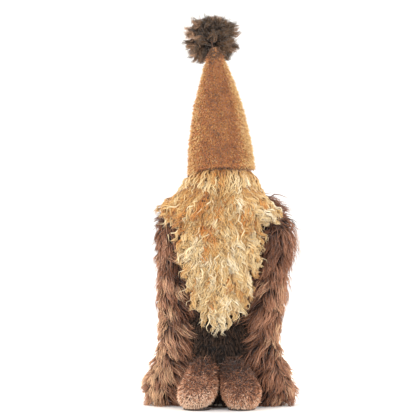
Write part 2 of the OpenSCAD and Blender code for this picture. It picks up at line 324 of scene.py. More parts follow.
# %% [markdown]
# ## Pile
# A lock of pile is a bundle of fibres that starts wide, thins out and ends in a point. Each is a closed
# tube with three sides that follows a curved centre line. The lines start at roots spread over a skin,
# leave along the cloth's outward direction, and bend as they were combed. Locks near each other lean
# together, which gives the tufts of real fur. The lines are worked out with arrays, all at once,
# because there are tens of thousands of them. Blender's own hair objects aren't meshes, so they
# couldn't be handed on as part of the model.

# %% Roots
def unit(vectors):
    """Vectors of length 1 in the same directions."""
    return vectors / np.maximum(np.linalg.norm(vectors, axis=-1, keepdims=True), 1e-9)


def read(data, name, width, kind=float):
    """One field of every item in a mesh's table, as an array."""
    values = np.empty(len(data) * width, kind)
    data.foreach_get(name, values)
    return values.reshape(-1, width)


def scatter(skin, gap, seed):
    """Roots about gap apart all over a skin: their places and the outward directions there."""
    rng = np.random.default_rng(seed)
    mesh = skin.data
    mesh.calc_loop_triangles()
    places = read(mesh.vertices, "co", 3)
    outward = read(mesh.vertices, "normal", 3)
    corners = read(mesh.loop_triangles, "vertices", 3, np.int32)
    a, b, c = (places[corners[:, i]] for i in range(3))
    area = np.linalg.norm(np.cross(b - a, c - a), axis=1) / 2
    count = int(area.sum() / gap ** 2)
    at = (np.arange(count) + rng.random(count)) / count * area.sum()
    face = np.minimum(np.searchsorted(np.cumsum(area), at), len(area) - 1)
    along, across = np.sqrt(rng.random(count)), rng.random(count)
    share = np.stack((1 - along, along * (1 - across), along * across), axis=1)[..., None]
    roots = (places[corners[face]] * share).sum(axis=1)
    return roots, unit((outward[corners[face]] * share).sum(axis=1))


# %% Centre lines
LENGTH_SPREAD = 0.3
CURL_ACROSS = 0.3 * np.array((1.0, 0.4, 0.0))
OUT_OF_STEP = 0.5
CURL_LEAST, CURL_MOST = 0.6, 1.3


def grow(roots, outward, seed, *, length, comb, lift, points, fall, wild):
    """Centre lines from the roots. lift is how much a line stands out where it starts, and comb is where
    it is combed to. fall bends it further that way along its length, and wild makes it stray."""
    rng = np.random.default_rng(seed)
    count = len(roots)
    comb = np.broadcast_to(comb, (count, 3))
    long = np.broadcast_to(length, count) * (1 + LENGTH_SPREAD * rng.uniform(-1, 1, count))
    step = (long / (points - 1))[:, None]
    heading = unit(outward * lift + comb * (1 - lift) + wild * rng.normal(size=(count, 3)))
    lines = np.empty((count, points, 3))
    lines[:, 0] = roots
    for i in range(1, points):
        lines[:, i] = lines[:, i - 1] + heading * step
        heading = unit(heading + fall * comb + 0.5 * wild * rng.normal(size=(count, 3)))
    return lines


def tuft(lines, seed, every, pull, power=1.3, loose=0.0):
    """Leans each line towards a leader near it, more so towards the tips. One line in every so many is a
    leader, and a share of them stays loose."""
    rng = np.random.default_rng(seed)
    leaders = rng.choice(len(lines), max(1, len(lines) // every), replace=False)
    tree = KDTree(len(leaders))
    for i, leader in enumerate(leaders):
        tree.insert(lines[leader, 0], i)
    tree.balance()
    own = leaders[[tree.find(root)[1] for root in lines[:, 0]]]
    share = (pull * np.linspace(0, 1, lines.shape[1]) ** power)[None, :, None]
    share = share * (rng.random(len(lines)) >= loose)[:, None, None]
    return lines + (lines[own] - lines) * share, own


def curl(lines, seed, own, width, wave, ease=0.6):
    """Winds each line round its own course, in step with its leader, as crimped yarn does. A high ease
    keeps the line straight near its root."""
    rng = np.random.default_rng(seed)
    points = lines.shape[1]
    along = unit(np.gradient(lines, axis=1))
    first = unit(np.cross(along, UP + CURL_ACROSS))
    second = np.cross(along, first)
    start = rng.uniform(0, 2 * math.pi, len(lines))[own] + rng.normal(0, OUT_OF_STEP, len(lines))
    turn = np.where(rng.random(len(lines))[own] < 0.5, -1.0, 1.0)
    reach = np.concatenate((np.zeros((len(lines), 1)),
                            np.cumsum(np.linalg.norm(np.diff(lines, axis=1), axis=2), axis=1)), axis=1)
    angle = start[:, None] + turn[:, None] * 2 * math.pi * reach / wave
    grown = np.linspace(0, 1, points)[None, :] ** ease
    size = (width * rng.uniform(CURL_LEAST, CURL_MOST, len(lines)))[:, None] * grown
    return lines + first * (size * np.cos(angle))[..., None] + second * (size * np.sin(angle))[..., None]


# %% From lines to locks
SIDES_OF_A_LOCK = 3
STRAND_MAP = "OFBake"
LOWEST_LOCK = 0.4 * MM
THIN_LOCK, THICK_LOCK = 0.7, 1.3
MAP_NUDGE = 0.003
ROOT_EDGE, TIP_EDGE = 0.005, 0.995
DARKEST, PALEST = 0.01, 0.99
PATCH_SHIFT = (1.7, 0.9, 0.3)
OWN_PART, SHARED_PART = 0.5, 0.8


def locks(name, lines, width, tone, seed, slim=0.75):
    """One mesh of tapered closed locks. Its UV map holds each lock's tone across and the way from root
    to tip along, and the pile's colour is read from there."""
    rng = np.random.default_rng(seed)
    count, points, _ = lines.shape
    lines[..., 2] = np.maximum(lines[..., 2], LOWEST_LOCK)
    along = unit(np.gradient(lines, axis=1))
    lean = unit(rng.normal(size=(count, 1, 3)))
    first = unit(np.cross(along, lean))
    second = np.cross(along, first)
    way = np.linspace(0, 1, points)
    thick = (slim + (1 - slim) * np.sin(math.pi * np.minimum(1, way + 0.25))) * (1 - way ** 3)
    radius = 0.5 * np.broadcast_to(width, count)[:, None]
    radius = radius * rng.uniform(THIN_LOCK, THICK_LOCK, (count, 1)) * thick
    angle = 2 * math.pi * np.arange(SIDES_OF_A_LOCK) / SIDES_OF_A_LOCK
    ring = (first[:, :-1, None] * np.cos(angle)[:, None] + second[:, :-1, None] * np.sin(angle)[:, None])
    rings = lines[:, :-1, None] + ring * radius[:, :-1, None, None]
    places = np.concatenate((rings.reshape(count, -1, 3), lines[:, -1:]), axis=1)

    ring_at = np.arange(points - 2)[:, None] * SIDES_OF_A_LOCK
    here = np.arange(SIDES_OF_A_LOCK)
    after = (here + 1) % SIDES_OF_A_LOCK
    quads = np.stack((ring_at + here, ring_at + after, ring_at + SIDES_OF_A_LOCK + after,
                      ring_at + SIDES_OF_A_LOCK + here), axis=2).reshape(-1, 4)
    last = (points - 2) * SIDES_OF_A_LOCK
    tip = np.stack((last + here, last + after, np.full(SIDES_OF_A_LOCK, last + SIDES_OF_A_LOCK)), axis=1)
    root = here[::-1][None, :]
    per_lock = places.shape[1]
    offset = (np.arange(count) * per_lock)[:, None, None]
    corners = np.concatenate([(part + offset).reshape(count, -1) for part in (quads, tip, root)], axis=1)
    sizes = np.array([4] * len(quads) + [3] * (len(tip) + 1))

    mesh = bpy.data.meshes.new(name)
    mesh.vertices.add(count * per_lock)
    mesh.vertices.foreach_set("co", places.ravel())
    mesh.loops.add(corners.size)
    mesh.loops.foreach_set("vertex_index", corners.ravel().astype(np.int32))
    mesh.polygons.add(count * len(sizes))
    all_sizes = np.tile(sizes, count)
    starts = np.concatenate(([0], np.cumsum(all_sizes)[:-1]))
    mesh.polygons.foreach_set("loop_start", starts.astype(np.int32))
    mesh.polygons.foreach_set("use_smooth", np.ones(len(all_sizes), bool))
    mesh.update(calc_edges=True)

    way_of = np.append(np.repeat(way[:-1], SIDES_OF_A_LOCK), 1.0)
    nudge = np.append(np.tile((here - 1) * MAP_NUDGE, points - 1), 0.0)
    tone = np.clip(tone, DARKEST, PALEST)
    local = corners % per_lock
    across = np.clip(tone[:, None] + nudge[local], 0, 1)
    strand_map = np.stack((across, np.clip(way_of[local], ROOT_EDGE, TIP_EDGE)), axis=2)
    layer = mesh.uv_layers.new(name=STRAND_MAP)
    layer.data.foreach_set("uv", strand_map.ravel().astype(np.float32))
    made = bpy.data.objects.new(name, mesh)
    bpy.context.collection.objects.link(made)
    print(f"{name}: {count} locks, {sum(s - 2 for s in sizes) * count} triangles")
    return made


def tones(roots, seed, patch, by_place, by_lock, own=None):
    """A tone for each lock, about 0.5: soft patches by place, and a difference from lock to lock, part
    of which a lock shares with its leader."""
    rng = np.random.default_rng(seed)
    shift = Vector([seed * part for part in PATCH_SHIFT])
    soft = np.array([noise.noise(Vector(root) / patch + shift) for root in roots])
    single = rng.normal(size=len(roots))
    if own is not None:
        single = OWN_PART * single + SHARED_PART * rng.normal(size=len(roots))[own]
    return 0.5 + by_place * soft + by_lock * single


# %% [markdown]
# ## The pile's colours
# Dyed pile isn't one colour. Little light reaches the roots, so they look dark, and the tips are worn
# and bleached, so they look pale. From lock to lock the dye differs a little. One material function
# serves all the pile: it mixes a colour for the root and one for the tip by the way along the lock,
# and both colours change with the lock's tone.

# %% Pile material
PILE_ROUGHNESS = 0.62
PILE_SPECULAR = 0.25
SHEEN_ROUGHNESS = 0.4


def ramp(tree, factor, stops):
    """A colour ramp with the given places and colours."""
    made = add(tree, "ShaderNodeValToRGB", {"Fac": factor})
    made.color_ramp.elements[0].position = stops[0][0]
    made.color_ramp.elements[0].color = linear(stops[0][1])
    made.color_ramp.elements[1].position = stops[-1][0]
    made.color_ramp.elements[1].color = linear(stops[-1][1])
    for place, colour in stops[1:-1]:
        made.color_ramp.elements.new(place).color = linear(colour)
    return made.outputs["Color"]


def pile_material(name, roots, tips, turn=(0.15, 0.85), sheen=0.25):
    """Pile whose colour runs from root to tip. roots and tips are the colours by tone, and turn is where
    along a lock the one gives way to the other."""
    made = bpy.data.materials.new(name)
    made.use_nodes = True
    tree = made.node_tree
    shader = tree.nodes["Principled BSDF"]
    place = add(tree, "ShaderNodeUVMap", uv_map=STRAND_MAP)
    parts = add(tree, "ShaderNodeSeparateXYZ", {"Vector": place.outputs["UV"]})
    root = ramp(tree, parts.outputs["X"], roots)
    tip = ramp(tree, parts.outputs["X"], tips)
    way = add(tree, "ShaderNodeMapRange",
              {"Value": parts.outputs["Y"], "From Min": turn[0], "From Max": turn[1]},
              interpolation_type="SMOOTHSTEP")
    colour = add(tree, "ShaderNodeMix", {"Factor": way.outputs["Result"]}, data_type="RGBA")
    tree.links.new(root, colour.inputs[6])
    tree.links.new(tip, colour.inputs[7])
    tree.links.new(colour.outputs[2], shader.inputs["Base Color"])
    shader.inputs["Roughness"].default_value = PILE_ROUGHNESS
    shader.inputs["Specular IOR Level"].default_value = PILE_SPECULAR
    shader.inputs["Sheen Weight"].default_value = sheen
    shader.inputs["Sheen Roughness"].default_value = SHEEN_ROUGHNESS
    return made


fur_pile = pile_material(
    "long pile fur, tip-bleached acrylic",
    [(0, "#2c1b12"), (0.5, "#4c3022"), (1, "#704833")],
    [(0, "#6a4330"), (0.35, "#9a6649"), (0.7, "#c48f70"), (1, "#e8bf96")], turn=(0.05, 0.75))
mohair_pile = pile_material(
    "curled mohair pile, honey dyed",
    [(0, "#8a5226"), (0.5, "#bd8c50"), (1, "#d9b57a")],
    [(0, "#c5803f"), (0.25, "#d2a566"), (0.6, "#e2c898"), (1, "#f6e9cf")], turn=(0.0, 0.55))
pompom_pile = pile_material(
    "curled wool pile, dark brown",
    [(0, "#1e1510"), (1, "#45301f")],
    [(0, "#33261b"), (0.5, "#57432f"), (0.75, "#8d694c"), (1, "#cda280")], turn=(0.2, 0.95))
body_pile = pile_material(
    "short knitted plush pile, dark brown",
    [(0, "#1c130e"), (1, "#2f2119")],
    [(0, "#33241b"), (0.6, "#4f3a2c"), (1, "#73543f")], sheen=0.05)
hat_pile = pile_material(
    "short plush pile, speckled terracotta",
    [(0, "#6b4830"), (0.3, "#9c6239"), (1, "#c08b50")],
    [(0, "#654c36"), (0.25, "#ad673c"), (0.55, "#c88153"), (0.8, "#d8a560"), (1, "#efd096")],
    turn=(0.1, 0.9))
foot_pile = pile_material(
    "short frosted plush pile, red brown",
    [(0, "#452b1e"), (1, "#a56e50")],
    [(0, "#54382a"), (0.4, "#a46b4c"), (0.75, "#dfa580"), (1, "#fddcc0")], turn=(0.0, 0.6))

# %% [markdown]
# ## The cloth under the pile
# The backing shows only as depth between the locks. Under long pile it is painted shade, darker than
# their roots, and under the short pile of the hat and the feet, where more light reaches it, it is near
# their colour.
# Its knit is drawn at 1.5 mm, which is coarser than the real one, so that it shows at all.

# %% Backing material
KNIT = 1.5 * MM
KNIT_RELIEF = 0.4 * MM
BACKING_ROUGHNESS = 0.85
BACKING_SHEEN = 0.15


def backing_material(name, dark, light, patch=9 * MM):
    """Knitted backing cloth: uneven dye in soft patches, and a bump from its stitches."""
    made = bpy.data.materials.new(name)
    made.use_nodes = True
    tree = made.node_tree
    shader = tree.nodes["Principled BSDF"]
    place = add(tree, "ShaderNodeTexCoord").outputs["Object"]
    soft = add(tree, "ShaderNodeTexNoise", {"Vector": place, "Scale": 1 / patch, "Detail": 3.0})
    fine = add(tree, "ShaderNodeTexNoise", {"Vector": place, "Scale": 1 / KNIT, "Detail": 2.0})
    both = add(tree, "ShaderNodeMath", {0: soft.outputs["Fac"], 1: fine.outputs["Fac"]},
               operation="MULTIPLY")
    tree.links.new(ramp(tree, both.outputs[0], [(0.12, dark), (0.4, light)]), shader.inputs["Base Color"])
    stitches = add(tree, "ShaderNodeTexVoronoi", {"Vector": place, "Scale": 1 / KNIT})
    bump = add(tree, "ShaderNodeBump",
               {"Height": stitches.outputs["Distance"], "Strength": 0.6, "Distance": KNIT_RELIEF})
    tree.links.new(bump.outputs["Normal"], shader.inputs["Normal"])
    shader.inputs["Roughness"].default_value = BACKING_ROUGHNESS
    shader.inputs["Sheen Weight"].default_value = BACKING_SHEEN
    return made


fur_backing = backing_material("knitted backing of the fur", "#150e0a", "#2b1d15")
mohair_backing = backing_material("woven backing of the mohair", "#6b4526", "#a87a48")
body_backing = backing_material("knitted backing of the body plush", "#140d09", "#2a1d15")
hat_backing = backing_material("knitted backing of the hat plush", "#9c6239", "#c98f57")
foot_backing = backing_material("knitted backing of the foot plush", "#52362a", "#8c5f49")


def finish_piece(piece, material, body, nodes=()):
    """Gives a finished piece its material and its body, and hides the CAD nodes that it stands for."""
    piece.data.materials.clear()
    piece.data.materials.append(material)
    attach(piece, body)
    if nodes:
        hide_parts(*nodes)


# %% [markdown]
# ## Body
# The body is a bag of dark plush. It shows between the arms, at the sides and from behind. Its pile is
# 11 mm long and combed down, and at the back it grows longer towards the hat, up to 24 mm.

# %% Body
BODY_LOCK, BODY_LOCK_MORE = 11 * MM, 13 * MM
LONGER_FROM, LONGER_SPAN = 190 * MM, 60 * MM
UNDER_HEM = 8 * MM
FLOOR_CLEAR = 1.5 * MM
body_skin = skin_from("body_skin", ["body_front_panel", "body_back_panel", "base_panel", "body_stuffing",
                                    "pellet_pouch", "pellet_fill"], voxel=4.5 * MM, inset=3 * MM)
stuff(body_skin, most=3 * MM)
finish_piece(body_skin, body_backing, "body", ["body_stuffing"])

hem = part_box("hat_cone")[0].z
roots, outward = scatter(body_skin, gap=2.7 * MM, seed=11)
shown = (roots[:, 2] > FLOOR_CLEAR) & (roots[:, 2] < hem + UNDER_HEM)
roots, outward = roots[shown], outward[shown]
behind = np.clip(2 * outward[:, 1] + 0.4, 0, 1)
under_hat = np.clip((roots[:, 2] - LONGER_FROM) / LONGER_SPAN, 0, 1) * behind
lines = grow(roots, outward, 12, length=BODY_LOCK + BODY_LOCK_MORE * under_hat, comb=DOWN, lift=0.5,
             points=5, fall=0.3, wild=0.3)
lines, own = tuft(lines, 13, every=7, pull=0.5)
tone = tones(roots, 14, patch=25 * MM, by_place=0.35, by_lock=0.13, own=own)
body_locks = locks("body_pile", lines, 1.9 * MM, tone, 15)
finish_piece(body_locks, body_pile, "body", ["body_front_panel", "body_back_panel"])

# %% [markdown]
# ## Arms
# The arms are sleeves of shaggy fur. The pile is about 29 mm long, shorter on the outside, and up to
# 70 mm inside the lower arm. It is combed down, hangs together in clumps about 8 mm wide, and turns out
# where the paw rests on the floor.

# %% Arms
FUR_LENGTH = 29 * MM
TRIM_HEIGHTS = [50 * MM, 80 * MM, 115 * MM, 185 * MM, 210 * MM]
OUTER_TRIM = {"left": [0.25, 0.6, 0.5, 0.45, 0.3], "right": [0.2, 0.65, 0.35, 0.1, -0.4]}
INNER_MORE = {"left": 0.8, "right": 1.4}
ARM_DARKER = {"left": 0.08, "right": 0.02}
LOWER_LIGHTER = {"left": 0.36, "right": 0.13}
LOWER_FROM, LOWER_TO = 170 * MM, 70 * MM
PAW_CLEAR = 2 * MM
FLARE_SHORTER, TOP_SHORTER = 0.3, 0.35
# The inner side and the upper arm get painted shade, and the outer side gets painted light.
INNER_PAINTED_SHADE, OUTER_PAINTED_LIGHT, UPPER_PAINTED_SHADE, FLARE_DARK = 0.6, 0.15, 0.7, 0.12
FUR_WIDTH = 1.35 * MM
FUR_CURL = {"width": 1.7 * MM, "wave": 24 * MM}
FUR_TUFT = {"every": 24, "pull": 0.66, "power": 1.0, "loose": 0.1}
for number, side in enumerate(SIDES):
    sign = -1 if side == "left" else 1
    skin = skin_from(f"{side}_arm_skin", [f"{side}_arm_fur", f"{side}_arm_stuffing", f"{side}_paw_fur",
                                          f"{side}_paw_stuffing"], voxel=4 * MM, inset=8 * MM)
    stuff(skin, most=3 * MM)
    finish_piece(skin, fur_backing, f"{side}_arm",
                 [f"{side}_arm_stuffing", f"{side}_paw_stuffing"])
    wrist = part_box(f"{side}_paw_fur")[1].z
    roots, outward = scatter(skin, gap=1.72 * MM, seed=21 + number)
    on_arm = roots[:, 2] >= wrist
    on_paw = (roots[:, 2] < wrist) & (roots[:, 2] > PAW_CLEAR)
    for part, here in (("arm", on_arm), ("paw", on_paw)):
        at, out = roots[here], outward[here]
        sideways = out * (1, 1, 0)
        flare = np.clip((wrist * 1.1 - at[:, 2:3]) / wrist, 0, 1)
        lower = np.clip((LOWER_FROM - at[:, 2]) / (LOWER_FROM - LOWER_TO), 0, 1)
        outer, inner = np.clip(sign * out[:, 0], 0, 1), np.clip(-sign * out[:, 0], 0, 1)
        sway = np.array((-sign * 0.3, -0.1, 0)) * (1 - flare)
        across = np.array((-sign * 0.6, 0, 0)) * (inner * lower)[:, None]
        top = np.clip(2.2 * out[:, 2:3] - 0.9, 0, 1) * (part == "arm")
        over_shoulder = np.array((sign * 1.6, 0, 0.3)) * top
        comb = unit(DOWN + sway + across + over_shoulder + sideways * (0.1 + 0.4 * flare) * (1 - top))
        trim = np.interp(at[:, 2], TRIM_HEIGHTS, OUTER_TRIM[side])
        long = FUR_LENGTH * (1 - FLARE_SHORTER * flare[:, 0]) * (1 - trim * outer)
        long = long * (1 + INNER_MORE[side] * inner * lower) * (1 - TOP_SHORTER * top[:, 0])
        lines = grow(at, out, 23 + number, length=long, comb=comb, lift=0.6, points=7, fall=0.3, wild=0.2)
        lines, own = tuft(lines, 25 + number, **FUR_TUFT)
        lines = curl(lines, 27 + number, own, **FUR_CURL)
        upper = np.clip((at[:, 2] - LOWER_FROM) / (LOWER_FROM - LOWER_TO), 0, 1)
        tone = tones(at, 29 + number, patch=16 * MM, by_place=0.4, by_lock=0.2, own=own)
        # Painted shade darkens the inner side, towards the body, and the upper arm under the beard; painted
        # light makes the outer side paler.
        tone = tone - INNER_PAINTED_SHADE * inner + OUTER_PAINTED_LIGHT * outer + LOWER_LIGHTER[side] * lower
        tone = tone - UPPER_PAINTED_SHADE * upper - FLARE_DARK * flare[:, 0] * (1 - outer) - ARM_DARKER[side]
        fur = locks(f"{side}_{part}_pile", lines, FUR_WIDTH, tone, 31 + number)
        finish_piece(fur, fur_pile, f"{side}_arm", [f"{side}_{part}_fur"])

# %% [markdown]
# ## Shoulders
# More of the long fur covers each shoulder. It is rooted on the body round the tape that holds the arm,
# and falls outwards over the top of the sleeve.

# %% Shoulders
SHOULDER_ROOTS = 900
SHOULDER_ROUND = 7 * MM
SHOULDER_DROP = {"left": 8 * MM, "right": 3 * MM}
SHOULDER_LENGTH = {"left": 20 * MM, "right": 32 * MM}
# Painted shade for the shoulder fur, which lies under the beard and the hat.
SHOULDER_PAINTED_SHADE = 0.35
TAPE_INNER, TAPE_OUTER = 4 * MM, 2 * MM
for number, side in enumerate(SIDES):
    sign = -1 if side == "left" else 1
    rng = np.random.default_rng(36 + number)
    tab_low, tab_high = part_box(f"{side}_shoulder_tab")
    reach = np.sort(np.abs([tab_low.x, tab_high.x]))
    angle = rng.uniform(0, 2 * math.pi, SHOULDER_ROOTS)
    outward = np.stack((np.zeros(SHOULDER_ROOTS), np.cos(angle), np.sin(angle)), axis=1)
    middle = np.array((0, 0.5 * (tab_low.y + tab_high.y), tab_low.z - SHOULDER_DROP[side]))
    roots = middle + outward * SHOULDER_ROUND
    roots[:, 0] = sign * rng.uniform(reach[0] + TAPE_INNER, reach[1] - TAPE_OUTER, SHOULDER_ROOTS)
    lines = grow(roots, outward, 38 + number, length=SHOULDER_LENGTH[side],
                 comb=unit(np.array((sign * 1.0, 0, -0.75))), lift=0.45, points=7, fall=0.25, wild=0.2)
    lines, own = tuft(lines, 33 + number, **FUR_TUFT)
    lines = curl(lines, 35 + number, own, **FUR_CURL)
    # The tone is lowered as painted shade under the beard and the hat.
    tone = tones(roots, 37 + number, patch=16 * MM, by_place=0.3, by_lock=0.15, own=own) - SHOULDER_PAINTED_SHADE
    fur = locks(f"{side}_shoulder_pile", lines, FUR_WIDTH, tone, 34 + number)
    finish_piece(fur, fur_pile, "body")

# %% [markdown]
# ## Feet
# The feet are two stuffed bags of frosted plush, with pile from 4.5 mm at the floor to 12 mm on top.
# They are full at the toes. The lower edge turns under to the sole, and the corner beside the other
# foot stands off the floor.

# %% Feet
UNDER = 17 * MM
PULL_IN = 11 * MM
INNER_LIFT = 13 * MM
INNER_FADE = 2.6
INNER_SPAN = {"left": 30 * MM, "right": 17 * MM}
FOOT_LOCK, FOOT_TOP_MORE = 4.5 * MM, 1.6
FOOT_TONE, FOOT_TOP_DARKER = {"left": 0.78, "right": 0.5}, 1.35


def round_under(piece, span):
    """Rounds a foot's lower edge, as the filling does where the plush turns under to the sole, and lifts
    the corner beside the other foot."""
    for point in piece.data.vertices:
        near = max(0.0, 1 - abs(point.co.x) / span)
        low = max(0.0, 1 - point.co.z / (INNER_FADE * INNER_LIFT))
        point.co.z += INNER_LIFT * near * low
        low_share = min(1.0, max(0.0, 1 - point.co.z / UNDER))
        turned = 1 - math.sqrt(1 - low_share ** 2)
        point.co -= Vector((point.normal.x, point.normal.y, 0)) * (PULL_IN * turned)
    piece.data.update()


for number, side in enumerate(SIDES):
    skin = skin_from(f"{side}_foot_skin", [f"{side}_foot_plush", f"{side}_foot_stuffing",
                                           f"{side}_foot_sole"], voxel=3.5 * MM, inset=2 * MM)
    stuff(skin, most=3 * MM)
    round_under(skin, INNER_SPAN[side])
    finish_piece(skin, foot_backing, f"{side}_foot", [f"{side}_foot_stuffing"])
    roots, outward = scatter(skin, gap=1.2 * MM, seed=41 + number)
    shown = roots[:, 2] > FLOOR_CLEAR
    roots, outward = roots[shown], outward[shown]
    rise = roots[:, 2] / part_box(f"{side}_foot_plush")[1].z
    lines = grow(roots, outward, 43 + number, length=FOOT_LOCK * (1 + FOOT_TOP_MORE * rise ** 3),
                 comb=unit(np.array((0, -0.6, -0.8))), lift=0.6, points=3, fall=0.3, wild=0.3)
    tone = tones(roots, 45 + number, patch=9 * MM, by_place=0.3, by_lock=0.2)
    tone = tone + FOOT_TONE[side] - FOOT_TOP_DARKER * rise
    pile = locks(f"{side}_foot_pile", lines, 1.1 * MM, tone, 47 + number)
    finish_piece(pile, foot_pile, f"{side}_foot", [f"{side}_foot_plush"])

# %% [markdown]
# ## Hat
# The hat is a tall cone of short plush over stiff buckram, so it stands smooth and straight. Its pile
# is only 4.4 mm long, and reads as speckle on the face of the cone and as a soft edge round it. Both
# sides are painted paler and more golden, as rim light, and the pile is darker near the tip. The hem is
# arched over the beard.

# %% Hat
HEM_HEIGHT = 34 * MM
HEM_ARCH = 8.5 * MM
HEM_LEFT = -4.5 * MM
HEM_RIGHT = 2.5 * MM
HAT_SHIFT = 3 * MM
HAT_DENT, DENT_SIZE = 0.9 * MM, 28 * MM
HAT_LOCK = 4.4 * MM
# Where the cone turns away at the sides, its pile gets painted rim light.
PAINTED_RIM_FROM, PAINTED_RIM_TO = 0.5, 0.85
PAINTED_RIM_LIGHT, PAINTED_RIM_MORE_RIGHT = 0.56, 0.14
HAT_DARKER, TIP_DARKER = 0.1, 1.1
TIP_FROM, TIP_FADE = 1.6, 15 * MM
hat_low, hat_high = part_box("hat_cone")
brim_radius = 0.5 * (hat_high.y - hat_low.y)


def hem_rise(x, y):
    """How far the hem stands above the brim: arched over the beard, and lower at the left side."""
    front = np.clip(-y / brim_radius, 0, 1)
    left_side, right_side = np.clip(-x / brim_radius, 0, 1), np.clip(x / brim_radius, 0, 1)
    return HEM_ARCH * front ** 2 + HEM_LEFT * left_side ** 2 + HEM_RIGHT * right_side ** 2


def shape_hat(piece):
    """Arches the hem, shifts the cone to where the filling has settled and dents it softly."""
    for point in piece.data.vertices:
        near = max(0.0, 1 - (point.co.z - hat_low.z) / HEM_HEIGHT) ** 2
        point.co.z += near * hem_rise(point.co.x, point.co.y)
        point.co.x += HAT_SHIFT
        point.co += point.normal * (HAT_DENT * noise.noise(point.co / DENT_SIZE))
    piece.data.update()


hat_skin = skin_from("hat_skin", ["hat_cone", "hat_buckram", "hat_stuffing"], voxel=3.5 * MM,
                     inset=2.8 * MM)
stuff(hat_skin, most=1.5 * MM)
shape_hat(hat_skin)
finish_piece(hat_skin, hat_backing, "body", ["hat_stuffing", "hat_buckram"])
roots, outward = scatter(hat_skin, gap=1.25 * MM, seed=51)
shown = roots[:, 2] > hat_low.z + HEM_LEFT
roots, outward = roots[shown], outward[shown]
lines = grow(roots, outward, 52, length=HAT_LOCK, comb=DOWN, lift=0.5, points=3, fall=0.3, wild=0.4)
# The pile is darker near the tip.
near_tip = np.clip(TIP_FROM - (hat_high.z - roots[:, 2]) / TIP_FADE, 0, 1)
# Painted rim light: the pile at both sides of the cone is paler and more golden, a little more at the
# right.
painted_rim_share = np.clip((np.abs(outward[:, 0]) - PAINTED_RIM_FROM) / (PAINTED_RIM_TO - PAINTED_RIM_FROM), 0, 1)
tone = tones(roots, 53, patch=12 * MM, by_place=0.3, by_lock=0.2) - HAT_DARKER - TIP_DARKER * near_tip
tone = tone + painted_rim_share * (PAINTED_RIM_LIGHT + PAINTED_RIM_MORE_RIGHT * np.sign(outward[:, 0]))
hat_locks = locks("hat_pile", lines, 1.1 * MM, tone, 54)
finish_piece(hat_locks, hat_pile, "body", ["hat_cone"])

# %% [markdown]
# ## Pompom
# The pompom is a stuffed ball under curled pile that stands out all round it, a little shorter on top
# and longer at the sides.

# %% Pompom
POMPOM_LOCK, TOP_LESS, SIDE_MORE = 20 * MM, 4 * MM, 3 * MM
# Painted rim light on the pompom's left side.
POMPOM_PAINTED_LIGHT = 0.2
pompom_skin = skin_from("pompom_skin", ["pompom_core"], voxel=3 * MM, inset=0.5 * MM)
stuff(pompom_skin, most=1.5 * MM)
finish_piece(pompom_skin, fur_backing, "pompom", ["pompom_core"])
roots, outward = scatter(pompom_skin, gap=0.88 * MM, seed=61)
long = POMPOM_LOCK - TOP_LESS * np.clip(outward[:, 2], 0, 1) + SIDE_MORE * np.abs(outward[:, 0])
lines = grow(roots, outward, 62, length=long, comb=DOWN, lift=0.95, points=7, fall=0.05, wild=0.22)
lines, own = tuft(lines, 63, every=15, pull=0.85, power=0.9, loose=0.08)
lines = curl(lines, 64, own, width=2.0 * MM, wave=13 * MM)
tone = tones(roots, 65, patch=14 * MM, by_place=0.35, by_lock=0.18, own=own)
# Painted rim light: the pile is paler towards the left side.
tone = tone + POMPOM_PAINTED_LIGHT * np.abs(outward[:, 0]) - POMPOM_PAINTED_LIGHT * outward[:, 0]
pompom_locks = locks("pompom_pile", lines, 1.4 * MM, tone, 66)
finish_piece(pompom_locks, pompom_pile, "pompom", ["pompom_fur"])

# %% [markdown]
# ## Beard and moustache
# The beard is curled mohair: long crimped locks that hang in waves over each other. It is sewn on
# under the hat's hem and hangs free below.
# Its cloth isn't stuffed, so it is made like the other skins but gets no simulation.

# %% Mohair
CURL_SIZE = 3.3 * MM
CURL_WAVE = 13 * MM
MOHAIR_WIDTH = 1.95 * MM
MOHAIR_PALER = 0.05
STRAY_SHARE, STRAY_AT_EDGE, NO_STRAYS = 0.007, 5, -0.2
STRAY_LONGER, STRAY_WIDTH, STRAY_TONE = 1.15, 2.3 * MM, 0.68
THIN_FROM, THINNED = 46 * MM, 0.85
GINGER_DROP, GINGER_HALF, GINGER_ACROSS = 36 * MM, 17 * MM, 40 * MM
GINGER_DARKER = 0.36
seam_low, seam_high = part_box("beard_stitches")
seam = 0.5 * (seam_low + seam_high)


def hang_from_seam(piece):
    """Bakes where the piece stands into its mesh."""
    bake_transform(piece)


